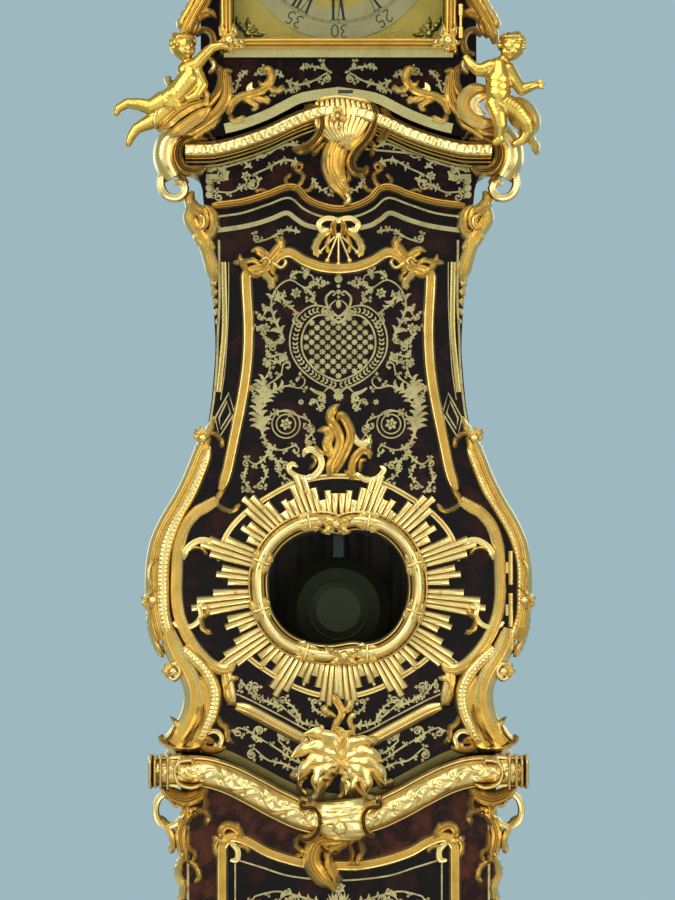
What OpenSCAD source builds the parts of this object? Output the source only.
// Longcase clock: plinth, violin-shaped trunk with a bulbous door, lift-off hood, weight-driven
// movement with a one-second pendulum, and gilt mounts.
// Millimetres. +Z is up, the front faces -Y, and the origin is on the floor under the middle.

/* [Plinth] */
// Height of the plinth's top
plinth_h = 480; // [440:1:540]
// Width of the plinth's carcase
plinth_w = 444; // [436:1:480]
// Depth of the plinth's carcase
plinth_d = 300; // [290:1:340]
// How far the plinth's front edge dips at the middle
plinth_dip = 72; // [50:1:90]
// Thickness of the plinth's boards
plinth_board = 16; // [12:1:20]
// Height of the feet
foot_h = 60; // [45:1:80]
// Height of the moulding over the feet
base_h = 46; // [30:1:60]
// How far that moulding stands out
base_proud = 30; // [20:1:34]
// Height of the big moulding round the top of the plinth
torus_h = 44; // [34:1:50]
// How far that moulding stands out
torus_proud = 40; // [30:2:42]

/* [Trunk] */
// Height of the trunk, from the plinth's top to its upper corners
trunk_h = 867; // [850:1:900]
// Depth of the trunk
trunk_d = 260; // [250:1:270]
// Half width at the trunk's foot
foot_hw = 232; // [226:1:240]
// Half width at the lower waist
waist_hw = 205; // [200:1:212]
// Height of the lower waist over the plinth
waist_z = 72; // [66:1:80]
// Half width at the bulge
bulge_hw = 254; // [252:1:262]
// Height of the bulge over the plinth
bulge_z = 240; // [234:1:250]
// Half width at the neck
neck_hw = 175; // [172:1:182]
// Height of the neck over the plinth
neck_z = 590; // [580:1:600]
// Half width under the capitals
capital_hw = 192; // [188:1:198]
// Height of the capitals over the plinth
capital_z = 784; // [776:1:792]
// Half width at the top corners
shoulder_hw = 226; // [220:1:232]
// How far the trunk's top edge rises at the middle
top_rise = 54; // [40:1:60]
// Thickness of the front boards
front_board = 18; // [15:1:20]
// Thickness of the side boards
side_board = 14; // [10:1:16]
// Thickness of the back board
back_board = 12; // [8:1:16]
// Height of the back board's top over the plinth
back_board_h = 1300; // [1270:1:1310]

/* [Trunk door] */
// Half width of the door at the neck
door_neck_hw = 136; // [130:1:138]
// Half width of the door at the bulge
door_bulge_hw = 240; // [236:1:241]
// Half width of the door's foot
door_foot_hw = 160; // [156:1:166]
// Height of the door's top corners over the plinth
door_top_z = 698; // [690:1:704]
// Gap round the door
door_gap = 1; // [0.6:0.1:1.5]
// Width of the gilt moulding round the door
door_moulding_w = 17; // [12:1:18]
// Height of that moulding
door_moulding_t = 10; // [7:1:12]
// Height of the lenticle's centre over the plinth
lenticle_z = 232; // [228:1:236]
// Half width of the lenticle's opening
lenticle_hw = 98; // [90:1:104]
// Half height of the lenticle's opening
lenticle_hh = 80; // [72:1:84]
// Width of the lenticle's bezel
bezel_w = 28; // [22:1:32]
// How far the bezel stands out
bezel_t = 18; // [12:1:22]
// Thickness of the lenticle's glass
glass_t = 3; // [2:0.5:4]
// Number of sunburst rays
ray_count = 26; // [20:2:30]
// Reach of the rays sideways from the lenticle's centre
ray_reach_x = 204; // [196:1:206]
// Reach of the rays up and down
ray_reach_z = 166; // [156:1:172]
// Thickness of the rays
ray_t = 9; // [5:1:11]
// Diameter of the hinge knuckles
knuckle_d = 7; // [6:0.5:7.5]
// Diameter of the hinge pins
hinge_pin_d = 4; // [3:0.5:5]
// Length of one hinge
hinge_l = 48; // [40:1:56]
// Distance of each trunk hinge from the lenticle's centre
hinge_offset = 30; // [28:1:34]

/* [Hood] */
// Width of the hood
hood_w = 390; // [386:1:400]
// Thickness of the hood's side boards
hood_side = 12; // [9:1:12]
// Height of the hood's shoulders over the trunk's top corners
hood_shoulder = 470; // [462:1:500]
// Height of the hood's arch over its shoulders
hood_arch = 150; // [130:1:170]
// Height of the finial
finial_h = 300; // [260:1:320]
// Gap between the hood and the trunk's top edge
hood_gap = 4; // [2:0.5:6]
// How far the hood's front stands before the trunk's
hood_step = 20; // [16:1:22]

/* [Dial] */
// Height of the dial's centre over the trunk's top corners
dial_z = 285; // [280:1:290]
// Radius of the chapter ring
chapter_r = 140; // [132:1:143]
// Width of the chapter ring
chapter_w = 46; // [36:1:50]
// Half width of the dial plate
plate_hw = 149; // [146:1:151]
// Thickness of the dial plate
plate_t = 2.5; // [2:0.5:4]
// Half width of the dial door
dial_door_hw = 168; // [166:1:172]
// Width of the dial door's frame
dial_frame_w = 19; // [16:1:21]
// Thickness of the dial door's frame
dial_frame_t = 13; // [10:1:15]
// Length of the minute hand
minute_l = 128; // [110:1:132]
// Length of the hour hand
hour_l = 84; // [70:1:90]

/* [Movement] */
// Half width of the movement's plates
works_hw = 82; // [80:1:90]
// Plates' reach above the dial's centre
works_up = 74; // [70:1:80]
// Plates' reach below the dial's centre
works_down = 62; // [60:1:66]
// Thickness of the movement's plates
works_plate_t = 3; // [2.5:0.5:4]
// Distance between the movement's plates
works_gap = 66; // [62:1:70]
// Distance of the dial plate's back behind the hood's front board
dial_set_back = 12.5; // [12:0.5:14]
// Distance from the dial plate to the front plate
dial_feet_l = 16; // [13:1:20]
// Tooth module of the great wheel and the centre wheel
big_module = 0.8; // [0.78:0.01:0.82]
// Tooth module of the third wheel
small_module = 0.6; // [0.58:0.01:0.62]
// Teeth of the great wheel
great_teeth = 96; // [90:6:96]
// Teeth of the centre wheel
centre_teeth = 64; // [60:2:64]
// Teeth of the third wheel
third_teeth = 60; // [58:2:60]
// Leaves of each pinion
pinion_leaves = 8; // [7:1:8]
// Teeth of the escape wheel
escape_teeth = 30; // [28:2:30]
// Radius of the escape wheel
escape_r = 15; // [14:0.5:15]
// Thickness of the wheels
wheel_t = 2; // [1.5:0.5:3]
// Radius of the arbors
arbor_r = 2; // [1.6:0.1:2.4]
// Radius of the pivots in the plates
pivot_r = 1.2; // [1:0.1:1.4]
// Radial clearance of a pivot
pivot_fit = 0.05; // [0.02:0.01:0.09]
// Radius of the barrels
barrel_r = 22; // [20:0.5:23]
// Radius of the weights
weight_r = 34; // [28:0.5:36]
// Height of the weights
weight_h = 200; // [180:1:220]
// Height of the pulleys' centre over the plinth at rest
pulley_z = 880; // [860:1:900]
// Diameter of the gut lines
line_d = 1.6; // [1.2:0.1:2]

/* [Pendulum and bell] */
// Length from the suspension to the bob's centre
pendulum_l = 1009; // [990:1:1020]
// Radius of the bob
bob_r = 76; // [70:1:80]
// Thickness of the bob at its middle
bob_t = 34; // [26:1:38]
// Width of the flat rod
rod_w = 15; // [12:1:16]
// Thickness of the flat rod
rod_t = 3; // [2:0.5:4]
// Distance of the pendulum behind the back plate
pendulum_back = 34; // [30:1:40]
// Radius of the bell
bell_r = 48; // [40:1:50]
// Height of the bell
bell_h = 36; // [30:1:40]

/* [Gilt mounts] */
// Clearance between a mount and the face it lies on
seat = 0.3; // [0.2:0.05:0.4]
// Half width of the band down the trunk's sides
truss_hw = 8; // [6:1:8]
// How far that band stands out
truss_t = 17; // [12:1:20]
// Height of the cornice's gilt roll
roll_h = 26; // [20:1:30]
// How far the cornice's roll stands out
roll_proud = 30; // [24:1:34]
// Thickness of the flat leaf mounts
leaf_t = 14; // [8:1:18]
// Thickness of the brass strips
strip_t = 3; // [2:0.5:5]
// Width of the brass strips
strip_w = 14; // [10:1:16]
// Overall size of a putto, crown to seat
putto_h = 100; // [90:1:106]

/* [Hidden] */
$fn = 48;

gilt = [0.80, 0.58, 0.18];
shell_veneer = [0.16, 0.06, 0.04];
plinth_veneer = [0.34, 0.14, 0.08];
oak = [0.42, 0.28, 0.16];
pale_brass = [0.66, 0.60, 0.38];
wheel_brass = [0.78, 0.66, 0.32];
steel = [0.45, 0.46, 0.50];
silvered = [0.74, 0.71, 0.62];
clear_glass = [0.75, 0.85, 0.88, 0.35];
lead_brass = [0.62, 0.52, 0.26];

// Depths along Y. The back is one plane, against the wall.
back_y = plinth_d / 2 + base_proud / 2;
plinth_front = back_y - plinth_d;
trunk_front = back_y - trunk_d;
trunk_inner = trunk_front + front_board;
back_inner = back_y - back_board;
hood_front = trunk_front - hood_step;
hood_front_inner = hood_front + front_board;
hood_hw = hood_w / 2;
plinth_hw = plinth_w / 2;

// Heights along Z
trunk_top = plinth_h + trunk_h;
dial_centre = trunk_top + dial_z;
lenticle = plinth_h + lenticle_z;
hood_bottom = trunk_top + hood_gap;
hood_shoulder_z = trunk_top + hood_shoulder;
hood_top = hood_shoulder_z + hood_arch;

// Smooth curves
function mix(a, b, t) = a + (b - a) * t;
function unit(v) = v / norm(v);
function last(list) = list[len(list) - 1];
function flip(points) = [for (i = [len(points) - 1:-1:0]) [-points[i][0], points[i][1]]];
function backwards(points) = [for (i = [len(points) - 1:-1:0]) points[i]];
function curve_point(a, b, c, d, t) =
    0.5 * (2 * b + (c - a) * t + (2 * a - 5 * b + 4 * c - d) * t * t
        + (3 * b - a - 3 * c + d) * t * t * t);
function smooth(points, steps = 4) = [
    for (i = [0:len(points) - 2])
        let (a = points[max(i - 1, 0)], b = points[i], c = points[i + 1],
            d = points[min(i + 2, len(points) - 1)])
        for (k = [0:steps - 1]) curve_point(a, b, c, d, k / steps),
    last(points)
];
// A right-hand half and its mirror image, as one path from left to right
function both(right_half) = concat(flip(right_half), [
    for (i = [(right_half[0][0] == 0 ? 1 : 0):len(right_half) - 1]) right_half[i]
]);
// A right-hand half that ends on the middle line, and its mirror image, from right to left
function over(right_half) = concat(right_half, [
    for (i = [len(right_half) - 2:-1:0]) [-right_half[i][0], right_half[i][1]]
]);
// The same path, moved sideways by d to its left
function shifted(path, d) = [
    for (i = [0:len(path) - 1])
        let (t = unit(path[min(i + 1, len(path) - 1)] - path[max(i - 1, 0)]))
        path[i] + d * [-t[1], t[0]]
];
function ring_shifted(path, d) = [
    for (i = [0:len(path) - 1])
        let (n = len(path), t = unit(path[(i + 1) % n] - path[(i + n - 1) % n]))
        path[i] + d * [-t[1], t[0]]
];
function raised(points, dz) = [for (p = points) [p[0], p[1] + dz]];
function rounded_oval(a, b, count = 64, power = 2.5) = [
    for (i = [0:count - 1])
        let (u = cos(360 * i / count), v = sin(360 * i / count))
        [a * sign(u) * pow(abs(u), 2 / power), b * sign(v) * pow(abs(v), 2 / power)]
];

// Cross-sections: across the mount, and out from the face it lies on
round_peak = 0.93;
round_section = [
    [-1, 0], [-0.85, 0.5], [-0.4, round_peak], [0.4, round_peak], [0.85, 0.5], [1, 0]
];

// A mount with a flat back on the plane y = face, swept along a path of [x, z] points.
// Each ring is scaled by the taper at that end.
module ridge(path, half_w, out, face, section = round_section, start_size = 1, end_size = 1,
        closed = false) {
    n = len(path);
    m = len(section);
    rings = [
        for (i = [0:n - 1])
            let (before = closed ? path[(i + n - 1) % n] : path[max(i - 1, 0)],
                after = closed ? path[(i + 1) % n] : path[min(i + 1, n - 1)],
                t = unit(after - before), side = [-t[1], t[0]],
                size = min(1, mix(start_size, 1, min(1, 5 * i / n)),
                    mix(end_size, 1, min(1, 5 * (n - 1 - i) / n))))
            for (s = section)
                [path[i][0] + side[0] * s[0] * half_w * size, face - s[1] * out * size,
                    path[i][1] + side[1] * s[0] * half_w * size]
    ];
    walls = [
        for (i = [0:(closed ? n - 1 : n - 2)], j = [0:m - 1])
            let (k = (i + 1) % n, l = (j + 1) % m)
            each [[i * m + j, i * m + l, k * m + l], [i * m + j, k * m + l, k * m + j]]
    ];
    caps = closed ? [] : [
        [for (j = [m - 1:-1:0]) j],
        [for (j = [0:m - 1]) (n - 1) * m + j]
    ];
    polyhedron(points = rings, faces = concat(walls, caps));
}

// A flat outline of [x, z] points, standing on the plane y = back and coming out to the front
module slab(outline, back, thick) {
    translate([0, back, 0]) rotate([90, 0, 0]) linear_extrude(thick) polygon(outline);
}

// A strip of even width along a path of [x, z] points
module band(path, half_w, back, thick) {
    slab(concat(shifted(path, half_w), backwards(shifted(path, -half_w))), back, thick);
}

// One pointed leaf from the origin, in 2D
function leaf(length, half_w) = concat(
    [for (i = [0:8]) [half_w * sin(20 * i) * (1 - 0.35 * i / 8), length * i / 8]],
    [for (i = [7:-1:1]) [-half_w * sin(20 * i) * (1 - 0.35 * i / 8), length * i / 8]]
);

// A fan of leaves round a boss, standing on the plane y = back
module leaf_fan(x, z, angles, lengths, half_w, boss, back, thick) {
    translate([x, back, z]) rotate([90, 0, 0]) linear_extrude(thick) {
        circle(r = boss);
        for (i = [0:len(angles) - 1])
            rotate(angles[i]) polygon(leaf(lengths[i], half_w));
    }
}

// A round bar along Y, from y0 to y1
module bar_y(x, z, r, y0, y1) {
    translate([x, y1, z]) rotate([90, 0, 0]) cylinder(r = r, h = y1 - y0);
}
module block(x0, x1, y0, y1, z0, z1) {
    translate([x0, y0, z0]) cube([x1 - x0, y1 - y0, z1 - z0]);
}
module mirrored() {
    children();
    mirror([1, 0, 0]) children();
}

// Plinth

// The dipping front edge, right half, from the middle outwards
dip_right = smooth([
    [0, plinth_h - plinth_dip - 3], [44, plinth_h - plinth_dip],
    [84, plinth_h - 0.77 * plinth_dip], [143, plinth_h - 0.30 * plinth_dip],
    [184, plinth_h - 0.08 * plinth_dip], [plinth_hw, plinth_h - 4]
], 3);
dip = both(dip_right);

module plinth_carcase() {
    inner_hw = plinth_hw - plinth_board;
    floor_z = foot_h + seat;
    color(plinth_veneer) {
        slab(concat(dip, [[plinth_hw, floor_z], [-plinth_hw, floor_z]]),
            plinth_front + plinth_board, plinth_board);
        mirrored()
            block(inner_hw, plinth_hw, plinth_front + plinth_board, back_y, floor_z, plinth_h - 4);
        block(-inner_hw, inner_hw, back_inner, back_y, floor_z, plinth_h - plinth_board);
        block(-inner_hw, inner_hw, plinth_front + plinth_board, back_inner, floor_z,
            floor_z + plinth_board);
        slab(concat(dip, backwards(raised(dip, -plinth_board))), trunk_inner,
            trunk_inner - plinth_front - plinth_board);
        block(-inner_hw, inner_hw, trunk_inner, back_y, plinth_h - plinth_board, plinth_h);
    }
}

// One step-and-hollow section of the base moulding: out from the carcase, and up
base_section = [
    [0, 0], [base_proud, 0], [base_proud, 0.35 * base_h], [0.8 * base_proud, 0.45 * base_h],
    [0.45 * base_proud, 0.65 * base_h], [0.3 * base_proud, 0.9 * base_h], [0, base_h]
];

module plinth_base_and_feet() {
    foot_w = 70;
    foot_d = 60;
    color(gilt) {
        mirrored()
            translate([plinth_hw + seat, back_y, foot_h]) rotate([90, 0, 0])
                linear_extrude(plinth_d) polygon(base_section);
        translate([-plinth_hw - base_proud, plinth_front - seat, foot_h])
            rotate([90, 0, 90]) linear_extrude(plinth_w + 2 * base_proud)
                polygon([for (p = base_section) [-p[0], p[1]]]);
        for (y = [plinth_front - 10, back_y - foot_d]) mirrored()
            translate([plinth_hw - foot_w + 12, y, 0]) difference() {
                cube([foot_w, foot_d, foot_h]);
                translate([0, -1, 0.35 * foot_h]) rotate([-90, 0, 0])
                    cylinder(r = 0.3 * foot_h, h = foot_d + 2);
                translate([foot_w, -1, 0.4 * foot_h]) rotate([-90, 0, 0])
                    cylinder(r = 0.22 * foot_h, h = foot_d + 2);
            }
    }
}

module plinth_top_moulding() {
    middle = [for (p = dip) [p[0] * (plinth_hw + torus_proud) / plinth_hw, p[1] - torus_h / 2]];
    color(gilt) {
        ridge(middle, torus_h / 2, torus_proud, plinth_front - seat);
        mirrored()
            translate([plinth_hw + seat, back_y, plinth_h - 4 - torus_h]) rotate([90, 0, 0])
                linear_extrude(plinth_d) polygon([
                    for (a = [-90:20:90])
                        [torus_proud * cos(a), torus_h / 2 * (1 + sin(a))]
                ]);
    }
}

frame_hw = 0.72 * plinth_hw;
frame_bottom = foot_h + base_h + 24;
// The panel frame's dipping top, right half
frame_top_right = smooth([
    [42, plinth_h - 154], [77, plinth_h - 146], [114, plinth_h - 131],
    [frame_hw - 18, plinth_h - 114], [frame_hw, plinth_h - 122]
], 3);

module plinth_panel_frame() {
    right = concat(frame_top_right, [
        [frame_hw, plinth_h - 150], [frame_hw, frame_bottom + 20], [frame_hw, frame_bottom],
        [frame_hw - 20, frame_bottom], [0, frame_bottom]
    ]);
    frame_half_w = 9;
    frame_t = 10;
    color(gilt) ridge(over(right), frame_half_w, frame_t, plinth_front - seat);
}

module plinth_mounts() {
    face = plinth_front - seat;
    boss = 16;
    boss_z = dip_right[0][1] - torus_h - boss - 2 * seat;
    color(gilt) {
        // shell with a tail under the moulding's middle
        leaf_fan(0, boss_z, [180, 156, -156, 132, -132, 104, -104],
            [72, 60, 60, 48, 48, 40, 40], 11, boss, face, leaf_t + 6);
        // scrolled leaf at each front corner
        mirrored() {
            ridge(smooth([
                [plinth_hw - 18, plinth_h - 70], [plinth_hw + 14, plinth_h - 60],
                [plinth_hw + 18, plinth_h - 84], [plinth_hw - 2, plinth_h - 104],
                [plinth_hw - 12, plinth_h - 140], [plinth_hw - 6, plinth_h - 190]
            ], 3), 10, leaf_t, face, end_size = 0.3);
        }
    }
}

// Trunk outlines, right half, from the foot upwards, heights over the plinth

trunk_side = smooth([
    [foot_hw, 0],
    [foot_hw, 18],
    [mix(foot_hw, waist_hw, 0.76), mix(18, waist_z, 0.6)],
    [waist_hw, waist_z],
    [mix(waist_hw, bulge_hw, 0.12), mix(waist_z, bulge_z, 0.14)],
    [mix(waist_hw, bulge_hw, 0.53), mix(waist_z, bulge_z, 0.35)],
    [mix(waist_hw, bulge_hw, 0.86), mix(waist_z, bulge_z, 0.57)],
    [bulge_hw, bulge_z],
    [mix(bulge_hw, neck_hw, 0.10), mix(bulge_z, neck_z, 0.17)],
    [mix(bulge_hw, neck_hw, 0.36), mix(bulge_z, neck_z, 0.33)],
    [mix(bulge_hw, neck_hw, 0.66), mix(bulge_z, neck_z, 0.49)],
    [mix(bulge_hw, neck_hw, 0.88), mix(bulge_z, neck_z, 0.66)],
    [mix(bulge_hw, neck_hw, 0.98), mix(bulge_z, neck_z, 0.86)],
    [neck_hw, neck_z],
    [mix(neck_hw, capital_hw, 0.38), mix(neck_z, capital_z, 0.5)],
    [capital_hw, capital_z]
], 3);
// A hollow spreads from the capitals to the top corners.
cavetto_h = 52;
trunk_outline = concat(trunk_side, [
    for (a = [15:15:90])
        [mix(shoulder_hw, capital_hw, cos(a)), capital_z + cavetto_h * sin(a)],
    [shoulder_hw, trunk_h]
]);
// The arched top edge, right half, from the middle outwards, heights over the trunk's corners
arch_right = smooth([
    [0, top_rise], [50, 0.86 * top_rise], [78, 0.62 * top_rise], [102, 0.40 * top_rise],
    [138, 0.15 * top_rise], [174, 0.01 * top_rise], [shoulder_hw, 0]
], 3);
arch = raised(both(arch_right), trunk_top);

// The door's outline, right half, from the bottom middle round to the top middle
door_right = concat(
    smooth([[0, -8], [34, 5], [84, 34], [door_foot_hw - 26, 60], [door_foot_hw, 64]], 3),
    smooth([
        [door_foot_hw + 1, 84], [door_foot_hw + 8, 108],
        [mix(door_foot_hw, door_bulge_hw, 0.45), 130],
        [mix(door_foot_hw, door_bulge_hw, 0.70), 152],
        [mix(door_foot_hw, door_bulge_hw, 0.92), 190], [door_bulge_hw, 235],
        [mix(door_neck_hw, door_bulge_hw, 0.975), 275],
        [mix(door_neck_hw, door_bulge_hw, 0.83), 318],
        [mix(door_neck_hw, door_bulge_hw, 0.42), 356],
        [mix(door_neck_hw, door_bulge_hw, 0.29), 402],
        [mix(door_neck_hw, door_bulge_hw, 0.20), 446],
        [mix(door_neck_hw, door_bulge_hw, 0.10), 497],
        [door_neck_hw + 2, 550], [door_neck_hw, 602], [door_neck_hw + 3, door_top_z - 30]
    ], 3),
    smooth([
        [door_neck_hw + 3, door_top_z], [door_neck_hw - 26, door_top_z + 5],
        [83, door_top_z + 18], [46, door_top_z - 1], [0, door_top_z - 11]
    ], 3)
);
door_half = raised(door_right, plinth_h);
door_loop = concat(door_half, [
    for (i = [len(door_half) - 2:-1:1]) [-door_half[i][0], door_half[i][1]]
]);
opening_loop = ring_shifted(door_loop, -door_gap);

module side_outline() {
    up = [for (p = trunk_outline) [p[0], p[1] + plinth_h]];
    inner = [
        for (p = trunk_side)
            if (p[1] < neck_z) [p[0] - side_board, p[1] + plinth_h]
    ];
    cheek_top = dial_centre - works_down - front_board;
    cheek_in = neck_hw - side_board;
    polygon(concat(up, [
        [neck_hw, trunk_top], [neck_hw, cheek_top], [cheek_in, cheek_top],
        [cheek_in, plinth_h + neck_z]
    ], backwards(inner)));
}

module trunk_right_side() {
    color(shell_veneer) translate([0, back_inner, 0]) rotate([90, 0, 0])
        linear_extrude(back_inner - trunk_inner) side_outline();
}
module trunk_left_side() {
    mirror([1, 0, 0]) trunk_right_side();
}
module trunk_back_board() {
    up = [for (p = trunk_outline) [p[0], p[1] + plinth_h]];
    top = [[neck_hw, trunk_top], [neck_hw, plinth_h + back_board_h]];
    right = concat(up, top);
    color(oak) slab(concat(flip(right), right), back_y, back_board);
}
module trunk_front_surround() {
    up = [for (p = trunk_outline) [p[0], p[1] + plinth_h]];
    drop = [for (p = dip) if (abs(p[0]) < foot_hw - 12) [p[0], p[1] + 6]];
    color(shell_veneer) difference() {
        slab(concat(drop, up, backwards(arch), flip(up)), trunk_inner, front_board);
        translate([0, 1, 0]) slab(opening_loop, trunk_inner, front_board + 2);
    }
}

dial_back = hood_front_inner + dial_set_back;
works_front = dial_back + dial_feet_l;
works_back = works_front + works_gap + 2 * works_plate_t;
going_x = 12 / 13 * big_module * (great_teeth + pinion_leaves) / 2;
barrel_dz = -5 / 13 * big_module * (great_teeth + pinion_leaves) / 2;
barrel_y = works_front + works_plate_t + works_gap * 0.52;

module inner_boards() {
    seat_z = dial_centre - works_down - front_board;
    ledge = 18;
    color(oak) {
        // seat board, with a slot for each line
        difference() {
            block(-neck_hw, neck_hw, works_front - 8, works_back + 8, seat_z, seat_z + front_board);
            for (side = [-1, 1])
                translate([side * going_x - barrel_r - 6, barrel_y - 12, seat_z - 1])
                    cube([2 * barrel_r + 12, 24, front_board + 2]);
        }
        // floor of the trunk
        block(-waist_hw + side_board + 2, waist_hw - side_board - 2, trunk_inner, back_inner,
            plinth_h, plinth_h + ledge);
        // ledges that the hood stands on
        mirrored()
            block(neck_hw, shoulder_hw, trunk_inner, back_inner, trunk_top, trunk_top + hood_gap);
    }
}

// Brass strips: the bottom sill, the band under the frieze and the canted corners
sill_path = [for (p = dip) if (abs(p[0]) < foot_hw - 46) [p[0], p[1] + 20]];
band_right = smooth([[36, -122], [52, -112], [74, -104], [110, -116], [172, -128]], 3);
neck_mount_l = 150;
corner_path = [
    for (p = trunk_side)
        if (p[1] > neck_z - 150 && p[1] < capital_z - neck_mount_l - 20)
            [p[0] - 8, p[1] + plinth_h]
];
module trunk_brass_strips() {
    face = trunk_front;
    color(pale_brass) {
        band(sill_path, strip_w / 2, face - seat, strip_t);
        mirrored() {
            band(raised(band_right, trunk_top), strip_w / 3, face - seat, strip_t);
            band(corner_path, strip_w / 3, face - seat, strip_t);
        }
    }
}

// The band down each side wraps the front corner: across, and out from the front board
truss_section = [
    [-1, 0], [-0.85, 0.5], [-0.2, 1], [0.35, 0.8], [0.8, 0.35], [0.95, -0.6], [-0.8, -0.6],
    [-0.8, 0]
];
// How far the band's middle stands outside the case's edge
truss_shift = 8.8;
module corner_mounts() {
    face = trunk_front - seat;
    edge = [for (p = trunk_side) if (p[1] < bulge_z + 190) [p[0], p[1] + plinth_h]];
    low = shifted(edge, -truss_shift);
    neck = smooth([
        [capital_hw + 6, capital_z + 14], [capital_hw + 2, capital_z - 24],
        [capital_hw - 6, capital_z - 52], [capital_hw - 14, capital_z - 90],
        [capital_hw - 17, capital_z - neck_mount_l]
    ], 3);
    color(gilt) {
        mirrored() {
            ridge(backwards(low), truss_hw, truss_t, face, truss_section, start_size = 0.4);
            ridge(raised(neck, plinth_h), 11, 15, face, start_size = 0.6, end_size = 0.2);
        }
    }
}

bracket_right = smooth([
    [0, -96], [28, -91], [46, -80], [60, -70], [68, -66], [80, -70], [101, -76], [137, -86],
    [capital_hw - 17, -91]
], 3);
module bracket_moulding() {
    color(gilt) ridge(raised(both(bracket_right), trunk_top), 7, 13, trunk_front - seat);
}

module cornice_moulding() {
    middle = [for (p = arch) [p[0] * (shoulder_hw + 18) / shoulder_hw, p[1] - roll_h / 2 - 4]];
    color(gilt) {
        ridge(middle, roll_h / 2, roll_proud, trunk_front - seat);
        mirrored()
            translate([shoulder_hw + seat, back_y, trunk_top - 4 - roll_h]) rotate([90, 0, 0])
                linear_extrude(trunk_d) polygon([
                    for (a = [-90:20:90])
                        [18 * cos(a), roll_h / 2 * (1 + sin(a))]
                ]);
    }
}

module cornice_mounts() {
    face = trunk_front - round_peak * roll_proud - 2 * seat;
    flat = trunk_front - seat;
    shell_z = trunk_top + top_rise - 34;
    color(gilt) {
        // shell over the roll's middle, with a tail
        leaf_fan(0, shell_z, [0, 34, -34, 68, -68, 102, -102, 140, -140, 180],
            [34, 36, 36, 42, 42, 46, 46, 46, 46, 100], 12, 20, face, 8);
        // palmette under it, on the frieze
        leaf_fan(0, trunk_top - 163, [0, 30, -30, 60, -60, 90, -90], [52, 46, 46, 38, 38, 30, 30],
            7, 8, flat, leaf_t);
        // scroll at each corner
        mirrored() {
            ridge(smooth([
                [shoulder_hw + 26.5, trunk_top - 4], [shoulder_hw + 28, trunk_top - 22],
                [shoulder_hw + 26.5, trunk_top - 38], [shoulder_hw + 18, trunk_top - 56],
                [shoulder_hw + 2, trunk_top - 66]
            ], 3), 8, 22, flat, end_size = 0.7);
        }
    }
}

// Hinges of the trunk door: the axis stands just outside the door's widest part
hinge_x = door_bulge_hw + knuckle_d / 2 + 1;
hinge_y = trunk_front - door_moulding_t / 2 - 1;
function hinge_mid(side) = lenticle + side * hinge_offset;

// The fixed half of a hinge: outer knuckles, their leaf on the plane y = face, and the pin
module fixed_knuckles(x, y, middle, length, leaf_end, face) {
    low = middle - length / 2;
    third = length / 3;
    for (k = [0, 2]) {
        translate([x, y, low + k * third]) cylinder(d = knuckle_d, h = third - seat);
        block(x + 1, leaf_end, y + 1, face - 0.01, low + k * third, low + (k + 1) * third - seat);
    }
    translate([x, y, low]) cylinder(d = hinge_pin_d, h = length - seat);
}
// The moving half: the middle knuckle and its leaf
module moving_knuckle(x, y, middle, length, leaf_start, leaf_back) {
    low = middle - length / 6;
    difference() {
        union() {
            translate([x, y, low]) cylinder(d = knuckle_d, h = length / 3 - seat);
            block(leaf_start, x, y + 1, leaf_back, low, low + length / 3 - seat);
        }
        translate([x, y, low - 1])
            cylinder(d = hinge_pin_d + 2 * pivot_fit, h = length / 3 + 2);
    }
}
module case_hinge_knuckles() {
    color(wheel_brass) for (side = [-1, 1])
        fixed_knuckles(hinge_x, hinge_y, hinge_mid(side), hinge_l, hinge_x + 3.5, trunk_front);
}
module door_hinge_knuckles() {
    color(wheel_brass) for (side = [-1, 1])
        moving_knuckle(hinge_x, hinge_y, hinge_mid(side), hinge_l, door_bulge_hw - 2.8,
            trunk_front - 0.01);
}

// Trunk door

lenticle_loop = [
    for (p = rounded_oval(lenticle_hw, lenticle_hh)) [p[0], p[1] + lenticle]
];
module door_panel() {
    color(shell_veneer) difference() {
        slab(door_loop, trunk_inner, front_board);
        translate([0, 1, 0]) slab(lenticle_loop, trunk_inner, front_board + 2);
    }
}
module door_frame_moulding() {
    path = ring_shifted(door_loop, door_moulding_w / 2 + 3.2);
    color(gilt) ridge(path, door_moulding_w / 2, door_moulding_t, trunk_front - seat, closed = true);
}
module lenticle_bezel() {
    middle = [
        for (p = rounded_oval(lenticle_hw + bezel_w / 2, lenticle_hh + bezel_w / 2))
            [p[0], p[1] + lenticle]
    ];
    color(gilt) ridge(middle, bezel_w / 2, bezel_t, trunk_front - seat, closed = true);
}
module lenticle_glass() {
    edge = [
        for (p = rounded_oval(lenticle_hw - seat, lenticle_hh - seat)) [p[0], p[1] + lenticle]
    ];
    color(clear_glass) slab(edge, trunk_front + 6 + glass_t, glass_t);
}

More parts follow.
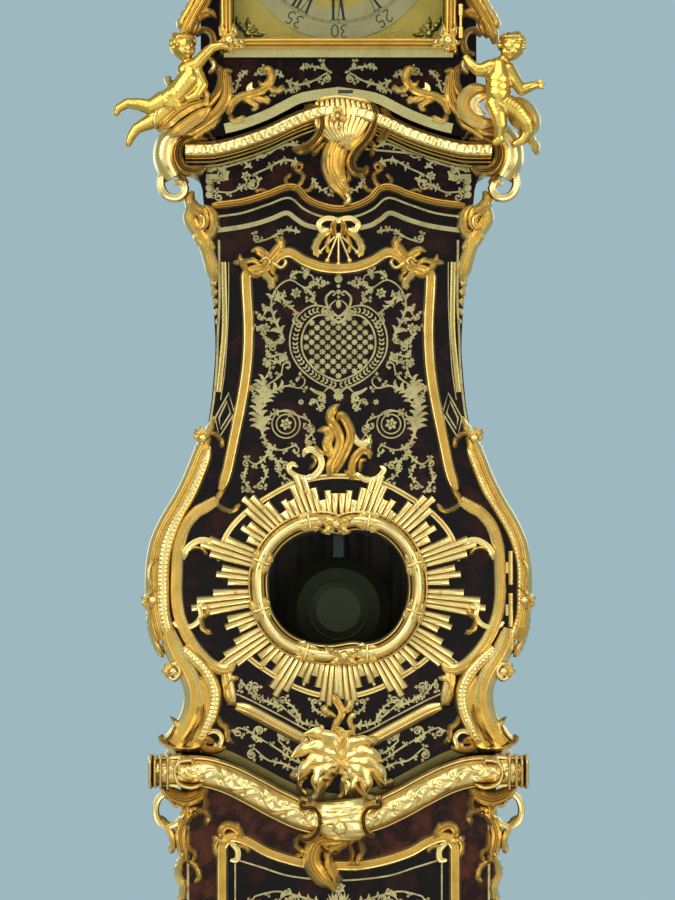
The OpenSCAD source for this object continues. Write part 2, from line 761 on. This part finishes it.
// One ray: three reeds side by side, the middle one longest, from radius a to radius b
module ray(a, b, half_w, back, thick) {
    step = 12;
    translate([0, back, lenticle]) rotate([90, 0, 0]) linear_extrude(thick) polygon([
        [-half_w, a], [-half_w * 1.35, b - 2 * step], [-half_w / 2, b - 2 * step],
        [-half_w / 2, b], [half_w / 2, b], [half_w / 2, b - step], [half_w * 1.35, b - step],
        [half_w, a]
    ]);
}
function oval_reach(angle, a, b) = 1 / sqrt(pow(sin(angle) / a, 2) + pow(cos(angle) / b, 2));
function squarish_reach(angle, a, b) =
    pow(pow(abs(sin(angle)) / a, 2.5) + pow(abs(cos(angle)) / b, 2.5), -1 / 2.5);
module sunburst_rays() {
    color(gilt) for (i = [0:ray_count - 1]) {
        angle = 360 * (i + 0.5) / ray_count;
        start = squarish_reach(angle, lenticle_hw + bezel_w, lenticle_hh + bezel_w) + 2.5;
        reach = oval_reach(angle, ray_reach_x, ray_reach_z) - 7 * (i % 2);
        translate([0, 0, lenticle]) rotate([0, angle, 0]) translate([0, 0, -lenticle])
            ray(start, reach, 8, trunk_front - seat, ray_t);
    }
}
module flame_mount() {
    bottom = lenticle + ray_reach_z + 6;
    color(gilt)
        leaf_fan(0, bottom + 12, [0, 24, -24, 52, -52, 84, -84], [82, 64, 58, 46, 44, 42, 42], 11,
            12, trunk_front - seat, leaf_t);
}
module floral_mount() {
    middle = plinth_h - 8;
    color(gilt)
        leaf_fan(0, middle, [0, 36, -36, 72, -72, 108, -108, 144, -144, 180],
            [58, 52, 52, 56, 56, 50, 50, 52, 52, 56], 15, 24,
            trunk_front - round_peak * door_moulding_t - 2 * seat, leaf_t);
}

// Lock inside the door's left edge, with a bolt that shoots into the surround's back
lock_z = plinth_h + 470;
lock_left = 4 - mix(door_neck_hw, door_bulge_hw, 0.15);
lock_w = 52;
lock_h = 44;
bolt_w = 12;
bolt_t = 5;
bolt_l = 34;
module door_lock() {
    color(steel) difference() {
        block(lock_left, lock_left + lock_w, trunk_inner + seat, trunk_inner + 14,
            lock_z - lock_h / 2, lock_z + lock_h / 2);
        block(lock_left - 1, lock_left + bolt_l + 12, trunk_inner + 4,
            trunk_inner + 4 + bolt_t + 0.4, lock_z - bolt_w / 2 - 0.2, lock_z + bolt_w / 2 + 0.2);
    }
}
module lock_bolt() {
    color(steel)
        block(lock_left, lock_left + bolt_l, trunk_inner + 4.2, trunk_inner + 4.2 + bolt_t,
            lock_z - bolt_w / 2, lock_z + bolt_w / 2);
}

// Hood

// The hood's arched head, right half from the shoulder to the middle
head_right = smooth([
    [hood_hw, hood_shoulder_z - 30],
    [hood_hw - 12, hood_shoulder_z], [hood_hw - 60, hood_shoulder_z + 0.22 * hood_arch],
    [hood_hw - 110, hood_shoulder_z + 0.62 * hood_arch],
    [hood_hw - 150, hood_shoulder_z + 0.93 * hood_arch], [0, hood_top]
], 3);
// The same head drawn in by d
function head_inside(d) = concat(
    [for (p = head_right) if (p[0] > 2 * d) [p[0] - d, p[1] - d]], [[0, hood_top - d]]
);
module hood_carcase() {
    head = over(head_right);
    under = over(head_inside(hood_side));
    inner_hw = hood_hw - hood_side;
    rail_z = plinth_h + back_board_h + 2;
    color(shell_veneer) {
        slab(concat([[hood_hw, hood_bottom]], head, [
            [-hood_hw, hood_bottom], [-inner_hw, hood_bottom]
        ], backwards(under), [[inner_hw, hood_bottom]]), back_y, back_y - hood_front_inner);
        // back rail above the trunk's back board
        slab(concat([[inner_hw, rail_z]], [for (p = under) if (p[1] > rail_z + 2) p],
            [[-inner_hw, rail_z]]), back_y, back_board);
    }
}

dial_door_bottom = dial_centre - 154;
dial_door_top = dial_centre + 170;
// An opening or frame with a round head, inset from the dial door's outline
function dial_shape(d) = concat(
    [[-dial_door_hw + d, dial_door_bottom + d], [dial_door_hw - d, dial_door_bottom + d]],
    [
        for (a = [0:10:180])
            [(dial_door_hw - d) * cos(a),
                dial_door_top - 100 + (100 - d) * sin(a)]
    ]
);
hood_arch_edge = raised(both(arch_right), hood_bottom + 1);
module hood_front_board() {
    lower = [for (p = hood_arch_edge) if (abs(p[0]) < hood_hw) p];
    color(shell_veneer) difference() {
        slab(concat([[-hood_hw, hood_bottom + 1]], lower, [[hood_hw, hood_bottom + 1]],
            over(head_right)), hood_front_inner, front_board);
        translate([0, 1, 0]) slab(dial_shape(dial_frame_w - 6), hood_front_inner, front_board + 2);
    }
}
module hood_sill_strip() {
    path = [for (p = hood_arch_edge) if (abs(p[0]) < hood_hw - 30) [p[0], p[1] + strip_w / 2 + 2]];
    color(pale_brass) {
        band(path, strip_w / 2, hood_front - seat, strip_t);
        block(-dial_door_hw + 6, dial_door_hw - 6, hood_front - seat - strip_t, hood_front - seat,
            dial_door_bottom - 14, dial_door_bottom - 2);
    }
}
module hood_side_scrolls() {
    face = hood_front - seat;
    color(gilt) mirrored() {
        ridge(smooth([
            [hood_hw - 2, dial_centre + 132], [hood_hw + 8, dial_centre + 60],
            [hood_hw + 14, dial_centre - 10], [hood_hw - 4, dial_centre - 70],
            [hood_hw + 2, dial_centre - 118], [hood_hw - 8, dial_centre - 150]
        ], 3), 13, 22, face, start_size = 0.5, end_size = 0.8);
        ridge(smooth([
            [dial_door_hw - 8, dial_door_bottom - 24], [dial_door_hw - 14, dial_door_bottom - 60],
            [dial_door_hw + 8, dial_door_bottom - 90], [hood_hw + 8, dial_door_bottom - 102],
            [hood_hw + 21, dial_door_bottom - 99]
        ], 3), 10, 18, face, start_size = 0.5, end_size = 0.6);
    }
}

// A limb: a rounded bar between two points, each with its own radius
module limb(a, b, ra, rb) {
    hull() {
        translate(a) sphere(r = ra, $fn = 14);
        translate(b) sphere(r = rb, $fn = 14);
    }
}
// A putto seated on the hood's corner. seat_p is its seat; every other joint is counted from it.
module putto(seat_p, head, shoulders, hand_a, elbow_a, hand_b, elbow_b, knee_a, foot_a, knee_b,
        foot_b) {
    k = putto_h / 100;
    translate(seat_p) scale(k) {
        limb(shoulders, [0, 0, 0], 14, 17);
        limb(head, head + [0, -1, 3], 17, 16);
        limb(shoulders, head, 9, 9);
        limb(shoulders, elbow_a, 9, 7);
        limb(elbow_a, hand_a, 7, 5);
        limb(shoulders, elbow_b, 9, 7);
        limb(elbow_b, hand_b, 7, 5);
        limb([0, 0, -4], knee_a, 14, 10);
        limb(knee_a, foot_a, 9, 6);
        limb([0, 0, -4], knee_b, 14, 10);
        limb(knee_b, foot_b, 9, 6);
    }
}
putto_x = hood_hw + 38;
putto_y = hood_front - 14;
putto_z = dial_centre - 236;
module left_putto() {
    color(gilt) putto([1.2 - putto_x, putto_y, putto_z], [16, -4, 79], [16, -2, 48],
        [46, -6, 80], [34, -4, 60], [-2, -14, 44], [2, -12, 30],
        [-30, -6, -2], [-62.2, 0, -8], [-20, -4, -32], [-50, 2, -46]);
}
module right_putto() {
    color(gilt) putto([putto_x, putto_y, putto_z], [8, -4, 80], [-2, -2, 52],
        [62, -4, 34], [40, -6, 20], [-44, -4, 80], [-26, -4, 64],
        [-8, -16, -14], [-4, -8, -46], [26, -2, -16], [16, 4, -50]);
}

module hood_pediment() {
    face = hood_front - seat;
    crest = [for (p = head_right) if (p[0] > 14) [p[0] - 12, p[1] - 12]];
    color(gilt) {
        mirrored() ridge(crest, 11, 18, face, start_size = 0.7, end_size = 0.7);
        leaf_fan(0, hood_top - 52, [0, 40, -40, 80, -80, 120, -120, 180],
            [46, 48, 48, 44, 44, 36, 36, 30], 13, 18, face, leaf_t + 8);
    }
}
module hood_finial() {
    k = finial_h / 300;
    color(gilt) translate([0, hood_front_inner + 40, hood_top + seat]) rotate_extrude() polygon([
        [0, 0], [44, 0], [44, 10], [30, 18], [18, 34], [14, 52], [24, 60], [46, 84], [54, 112],
        [50, 140], [34, 158], [22, 166], [26, 176], [30, 190], [24, 214], [16, 244],
        [8, 272], [0, 300]
    ] * k);
}

// Dial door

dial_hinge_x = dial_door_hw + knuckle_d / 2 + 1;
dial_hinge_y = hood_front - seat - dial_frame_t;
function dial_hinge_mid(side) = dial_centre - 30 + side * 88;
module dial_door_frame() {
    color(gilt) {
        difference() {
            slab(dial_shape(0), hood_front - seat, dial_frame_t);
            translate([0, 1, 0]) slab(dial_shape(dial_frame_w), hood_front - seat,
                dial_frame_t + 2);
            translate([0, 0.01, 0]) slab(dial_shape(dial_frame_w - 4), hood_front - seat, 5);
        }
        for (side = [-1, 1])
            moving_knuckle(dial_hinge_x, dial_hinge_y, dial_hinge_mid(side), hinge_l,
                dial_door_hw - 1, dial_hinge_y + 4);
    }
}
module dial_hinge_knuckles() {
    color(wheel_brass) for (side = [-1, 1])
        fixed_knuckles(dial_hinge_x, dial_hinge_y, dial_hinge_mid(side), hinge_l,
            dial_hinge_x + 3.5, hood_front);
}
module dial_glass() {
    color(clear_glass)
        slab(dial_shape(dial_frame_w - 4 + seat), hood_front - seat - 1, glass_t);
}

// Dial and hands

function plate_shape() = concat(
    [[-plate_hw, dial_centre - 147], [plate_hw, dial_centre - 147]],
    [
        for (a = [0:10:180])
            [plate_hw * cos(a), dial_centre + 70 + 80 * sin(a)]
    ]
);
module dial_plate() {
    color(wheel_brass) {
        difference() {
            slab(plate_shape(), dial_back, plate_t);
            bar_y(0, dial_centre, 7, dial_back - plate_t - 1, dial_back + 1);
        }
        // feet pinned to the front plate
        for (x = [-1, 1], z = [-1, 1])
            bar_y(x * (works_hw - 12), dial_centre + 4 + z * 44, 3, dial_back - 0.01,
                works_front - 0.01);
    }
}
module chapter_ring() {
    color(silvered) difference() {
        bar_y(0, dial_centre, chapter_r, dial_back - plate_t - 1.5, dial_back - plate_t);
        bar_y(0, dial_centre, chapter_r - chapter_w, dial_back - plate_t - 3,
            dial_back - plate_t + 1);
    }
}
hour_y = dial_back - plate_t - 4.5;
minute_y = hour_y - 3;
cannon_r = 3.4;
function hand_shape(length, half_w) = [
    [-half_w, 0], [-half_w * 0.5, 0.3 * length], [-half_w * 1.3, 0.5 * length],
    [-half_w * 0.8, 0.62 * length], [-half_w * 0.35, 0.7 * length], [0, length],
    [half_w * 0.35, 0.7 * length], [half_w * 0.8, 0.62 * length], [half_w * 1.3, 0.5 * length],
    [half_w * 0.5, 0.3 * length], [half_w, 0]
];
module hand(length, half_w, hub, y, thick, angle) {
    translate([0, y, dial_centre]) rotate([90, 0, 0]) linear_extrude(thick) {
        circle(r = hub);
        rotate(-angle) polygon(hand_shape(length, half_w));
    }
}
// Hour hand on its pipe, which turns on the minute hand's cannon
module hour_hand() {
    color(steel) difference() {
        union() {
            hand(hour_l, 7, 10, hour_y, 1.5, 305);
            bar_y(0, dial_centre, cannon_r + 1.6, hour_y - 0.5, works_front - 3);
        }
        bar_y(0, dial_centre, cannon_r + pivot_fit, hour_y - 4, works_front);
    }
}
module minute_hand() {
    color(steel) {
        hand(minute_l, 6, 8, minute_y, 1.5, 60);
        bar_y(0, dial_centre, cannon_r, minute_y - 1.5, works_front - 1);
    }
}

// Movement: wheels turn on arbors along Y between two plates

centre_p = [0, 0];
going_p = [going_x, barrel_dz];
strike_p = [-going_x, barrel_dz];
third_reach = big_module * (centre_teeth + pinion_leaves) / 2;
third_p = third_reach * [-0.6, 0.8];
escape_reach = small_module * (third_teeth + pinion_leaves) / 2;
escape_p = [0, third_p[1] + sqrt(pow(escape_reach, 2) - pow(third_p[0], 2))];
pallet_p = [0, escape_p[1] + escape_r + 5];
hammer_p = [-62, 44];
pillar_x = works_hw - 7;
inside_front = works_front + works_plate_t;
inside_back = works_back - works_plate_t;
pendulum_y = works_back + pendulum_back;

module movement_frame() {
    holes = [centre_p, going_p, strike_p, third_p, escape_p, pallet_p, hammer_p];
    top = dial_centre + works_up;
    bottom = dial_centre - works_down;
    color(wheel_brass) {
        difference() {
            union() for (y = [works_front, inside_back])
                block(-works_hw, works_hw, y, y + works_plate_t, bottom, top);
            for (p = holes)
                bar_y(p[0], dial_centre + p[1], pivot_r + pivot_fit, works_front - 1, works_back + 1);
            bar_y(0, dial_centre, arbor_r + pivot_fit, works_front - 1, inside_front + 1);
        }
        for (x = [-1, 1], z = [bottom + 7, top - 7])
            bar_y(x * pillar_x, z, 4, inside_front - 0.01, inside_back + 0.01);
    }
}

// A wheel or pinion in the XZ plane, teeth straight-sided, one tooth at the given angle
function gear_outline(teeth, r, tall, deep, angle) = [
    for (i = [0:teeth - 1])
        let (a = angle + 360 * i / teeth, p = 360 / teeth)
        each [
            for (s = [[-0.24, r - deep], [-0.10, r + tall], [0.10, r + tall], [0.24, r - deep]])
                [s[1] * sin(a + s[0] * p), s[1] * cos(a + s[0] * p)]
        ]
];
module gear(centre, teeth, mod, angle, y, thick) {
    r = mod * teeth / 2;
    translate([centre[0], y + thick, dial_centre + centre[1]]) rotate([90, 0, 0])
        linear_extrude(thick) polygon(gear_outline(teeth, r, 0.68 * mod, 1.2 * mod, angle));
}
function bearing(a, b) = atan2(b[0] - a[0], b[1] - a[1]);
// An arbor with a pivot in each plate
module arbor(centre, front = inside_front, back = inside_back) {
    z = dial_centre + centre[1];
    bar_y(centre[0], z, arbor_r, front + 0.5, back - 0.5);
    bar_y(centre[0], z, pivot_r, front - works_plate_t, back + works_plate_t);
}
centre_y = inside_front + 2;
great_y = inside_front + 7;
third_y = inside_front + 22;
escape_y = inside_front + 34;

module great_wheel() {
    z = dial_centre + going_p[1];
    color(wheel_brass) difference() {
        gear(going_p, great_teeth, big_module, bearing(going_p, centre_p), great_y, wheel_t);
        bar_y(going_p[0], z, arbor_r + 2 + pivot_fit, great_y - 1, great_y + wheel_t + 1);
    }
}
module centre_wheel() {
    toward_great = bearing(centre_p, going_p);
    color(wheel_brass) {
        gear(centre_p, centre_teeth, big_module, bearing(centre_p, third_p), centre_y, wheel_t);
        gear(centre_p, pinion_leaves, big_module, toward_great + 180 / pinion_leaves,
            great_y - 1, wheel_t + 2);
        bar_y(0, dial_centre, arbor_r, works_front - 0.5, inside_back - 0.5);
        bar_y(0, dial_centre, pivot_r, inside_back - 1, works_back);
    }
}
module third_wheel() {
    color(wheel_brass) {
        gear(third_p, third_teeth, small_module, bearing(third_p, escape_p), third_y, wheel_t);
        gear(third_p, pinion_leaves, big_module,
            bearing(third_p, centre_p) + 180 / pinion_leaves, centre_y - 1, wheel_t + 2);
        arbor(third_p);
    }
}
module escape_wheel() {
    color(wheel_brass) {
        translate([0, escape_y + wheel_t, dial_centre + escape_p[1]]) rotate([90, 0, 0])
            linear_extrude(wheel_t) polygon([
                for (i = [0:escape_teeth - 1])
                    let (a = 360 * i / escape_teeth, p = 360 / escape_teeth)
                    each [
                        [escape_r * sin(a), escape_r * cos(a)],
                        [(escape_r - 2.6) * sin(a + 0.30 * p), (escape_r - 2.6) * cos(a + 0.30 * p)],
                        [(escape_r - 2.6) * sin(a + 0.80 * p), (escape_r - 2.6) * cos(a + 0.80 * p)]
                    ]
            ]);
        gear(escape_p, pinion_leaves, small_module,
            bearing(escape_p, third_p) + 180 / pinion_leaves, third_y - 1, wheel_t + 2);
        arbor(escape_p);
    }
}
module barrel(centre, front_y) {
    z = dial_centre + centre[1];
    bar_y(centre[0], z, barrel_r - line_d / 2 - seat, front_y, inside_back - 6);
    bar_y(centre[0], z, barrel_r + 3, front_y, front_y + 2);
    bar_y(centre[0], z, barrel_r + 3, inside_back - 8, inside_back - 6);
    arbor(centre);
}
module going_barrel() {
    z = dial_centre + going_p[1];
    color(wheel_brass) {
        barrel(going_p, great_y + wheel_t + 1);
        bar_y(going_p[0], z, arbor_r + 2, inside_front + 1, great_y + wheel_t + 2);
    }
}
module strike_barrel() {
    color(wheel_brass) {
        barrel(strike_p, great_y + wheel_t);
        gear(strike_p, great_teeth - 12, big_module, 0, great_y, wheel_t);
    }
}

// Weights on pulleys. Each line drops from its barrel, goes round the pulley and up to the
// seat board.
pulley_r = barrel_r;
pulley_at = plinth_h + pulley_z;
module weight(x) {
    top = pulley_at - pulley_r - 24;
    translate([x, barrel_y, 0]) {
        translate([0, 0, top - weight_h]) rotate_extrude() polygon([
            [0, 0], [weight_r - 6, 0], [weight_r, 6], [weight_r, weight_h - 6],
            [weight_r - 6, weight_h], [8, weight_h], [5, weight_h + 6], [0, weight_h + 6]
        ]);
        // stirrup over the pulley
        difference() {
            translate([-5, -7, top + 4]) cube([10, 14, pulley_r + 26]);
            translate([-6, -4, top + 12]) cube([12, 8, pulley_r + 22]);
        }
        // pulley, grooved for the line
        translate([0, 3.2, pulley_at]) rotate([90, 0, 0]) rotate_extrude() polygon([
            [0, 0], [pulley_r + 1.5, 0], [pulley_r + 1.5, 1.2],
            [pulley_r - line_d / 2 - 0.2, 2.2], [pulley_r - line_d / 2 - 0.2, 4.2],
            [pulley_r + 1.5, 5.2], [pulley_r + 1.5, 6.4], [0, 6.4]
        ]);
        translate([0, 7, pulley_at]) rotate([90, 0, 0]) cylinder(r = 2, h = 14);
    }
}
module going_weight() {
    color(lead_brass) weight(going_x);
}
module strike_weight() {
    color(lead_brass) weight(-going_x);
}
module gut_line() {
    run_x = going_x - barrel_r;
    tied_x = going_x + barrel_r;
    board_top = dial_centre - works_down;
    translate([run_x, barrel_y, pulley_at])
        cylinder(d = line_d, h = dial_centre + barrel_dz - pulley_at);
    translate([tied_x, barrel_y, pulley_at])
        cylinder(d = line_d, h = board_top + 1 - pulley_at);
    translate([going_x, barrel_y, pulley_at]) rotate([-90, 0, 0])
        rotate_extrude(angle = 180) translate([barrel_r, 0]) circle(d = line_d);
    // toggle across the seat board's slot
    block(tied_x - 3, tied_x + 3, barrel_y - 16, barrel_y + 16, board_top + 0.05, board_top + 3);
}
module going_line() {
    color([0.75, 0.65, 0.42]) gut_line();
}
module strike_line() {
    mirror([1, 0, 0]) going_line();
}

// Escapement and pendulum turn about one axis, through the suspension

suspension = dial_centre + pallet_p[1];
fork_drop = 96;
module pallets_and_crutch() {
    nib = escape_r + 1.1;
    up = escape_r + 5;
    reach = nib * sin(45);
    color(steel) {
        translate([0, escape_y + wheel_t + 0.5, dial_centre + escape_p[1]]) rotate([90, 0, 0])
            linear_extrude(wheel_t + 1) polygon([
                [0, up + 4], [5, up + 3], [reach + 3, reach + 2.5], [reach + 2.6, reach - 1.5],
                [reach, reach], [reach - 1.5, reach + 3.2], [0, up - 3], [1.5 - reach, reach + 3.2],
                [-reach, reach], [-reach - 2.6, reach - 1.5], [-reach - 3, reach + 2.5],
                [-5, up + 3]
            ]);
        bar_y(0, suspension, arbor_r * 0.75, inside_front + 0.5, inside_back - 0.5);
        bar_y(0, suspension, pivot_r, works_front, works_back + 8);
        // crutch, behind the back plate, with a fork astride the rod
        block(-2, 2, works_back + 2, works_back + 5, suspension - fork_drop, suspension + 3);
        mirrored()
            block(rod_w / 2 + seat, rod_w / 2 + seat + 2, works_back + 2, pendulum_y + 4,
                suspension - fork_drop, suspension - fork_drop + 6);
        block(-rod_w / 2 - seat - 2, rod_w / 2 + seat + 2, works_back + 2, works_back + 5,
            suspension - fork_drop, suspension - fork_drop + 6);
    }
}
module back_cock() {
    color(wheel_brass) {
        difference() {
            union() {
                block(-16, 16, works_back, pendulum_y + 6, suspension + 8, suspension + 14);
                mirrored() block(11, 16, works_back, works_back + 10, suspension - 10,
                    suspension + 8);
            }
            // slit for the suspension spring
            block(-rod_w / 2 - 1, rod_w / 2 + 1, pendulum_y - 0.5, pendulum_y + 0.5,
                suspension + 7, suspension + 15);
        }
    }
}
module pendulum_rod() {
    bottom = suspension - pendulum_l - bob_r - 34;
    color(steel) {
        // suspension spring with its cross-pin on the cock
        block(-5, 5, pendulum_y - 0.15, pendulum_y + 0.15, suspension - 24, suspension + 16);
        bar_y(0, suspension + 16.5, 1.8, pendulum_y - 4, pendulum_y + 4);
        block(-rod_w / 2, rod_w / 2, pendulum_y - rod_t / 2, pendulum_y + rod_t / 2,
            suspension - pendulum_l - bob_r - 4, suspension - 18);
        translate([0, pendulum_y, bottom]) cylinder(r = 3, h = 32);
    }
}
module pendulum_bob() {
    color(lead_brass) translate([0, pendulum_y, suspension - pendulum_l]) difference() {
        rotate([90, 0, 0]) rotate_extrude() polygon([
            [0, -bob_t / 2], [0.42 * bob_r, -bob_t / 2], [0.8 * bob_r, -0.32 * bob_t],
            [bob_r, -2], [bob_r, 2], [0.8 * bob_r, 0.32 * bob_t], [0.42 * bob_r, bob_t / 2],
            [0, bob_t / 2]
        ]);
        translate([-rod_w / 2 - 0.2, -rod_t / 2 - 0.2, -bob_r - 1])
            cube([rod_w + 0.4, rod_t + 0.4, 2 * bob_r + 2]);
    }
}
module rating_nut() {
    z = suspension - pendulum_l - bob_r - 22;
    color(wheel_brass) difference() {
        translate([0, pendulum_y, z]) cylinder(r = 13, h = 10);
        translate([0, pendulum_y, z - 1]) cylinder(r = 3 + pivot_fit, h = 12);
    }
}

// Bell on a post, and its hammer

bell_z = dial_centre + works_up + 26;
bell_y = mix(works_front, works_back, 0.5);
module bell() {
    color(wheel_brass) {
        translate([0, bell_y, bell_z]) rotate_extrude() polygon([
            [0, bell_h - 3], [0, bell_h], [0.55 * bell_r, bell_h - 2], [0.85 * bell_r, 0.6 * bell_h],
            [bell_r, 0], [bell_r - 3, 0], [0.85 * bell_r - 3, 0.6 * bell_h - 2],
            [0.55 * bell_r - 1, bell_h - 5]
        ]);
        translate([0, bell_y, bell_z + bell_h - 0.5]) cylinder(r = 6, h = 5);
        // post from a bar across the plates
        translate([0, bell_y, dial_centre + works_up + 3.9])
            cylinder(r = 3, h = bell_z + bell_h - 2 - dial_centre - works_up - 3.9);
        block(-6, 6, works_front, works_back, dial_centre + works_up, dial_centre + works_up + 4);
    }
}
module strike_hammer() {
    x = hammer_p[0];
    z = dial_centre + hammer_p[1];
    color(steel) {
        arbor(hammer_p);
        block(x - 2, x + 2, bell_y - 2, bell_y + 2, z, bell_z - 4);
        translate([x - 5, bell_y, bell_z + 2]) rotate([0, 90, 0]) cylinder(r = 7, h = 15);
        block(x - 2, x + 2, bell_y - 2, bell_y + 2, bell_z - 5, bell_z);
    }
}

plinth_carcase();
plinth_base_and_feet();
plinth_top_moulding();
plinth_panel_frame();
plinth_mounts();
trunk_back_board();
trunk_left_side();
trunk_right_side();
trunk_front_surround();
inner_boards();
trunk_brass_strips();
corner_mounts();
bracket_moulding();
cornice_moulding();
cornice_mounts();
case_hinge_knuckles();
door_panel();
door_frame_moulding();
lenticle_bezel();
lenticle_glass();
sunburst_rays();
flame_mount();
floral_mount();
door_hinge_knuckles();
door_lock();
lock_bolt();
hood_carcase();
hood_front_board();
hood_sill_strip();
hood_side_scrolls();
left_putto();
right_putto();
hood_pediment();
hood_finial();
dial_hinge_knuckles();
dial_door_frame();
dial_glass();
dial_plate();
chapter_ring();
hour_hand();
minute_hand();
movement_frame();
centre_wheel();
great_wheel();
third_wheel();
escape_wheel();
going_barrel();
strike_barrel();
going_weight();
strike_weight();
going_line();
strike_line();
pallets_and_crutch();
back_cock();
pendulum_rod();
pendulum_bob();
rating_nut();
bell();
strike_hammer();
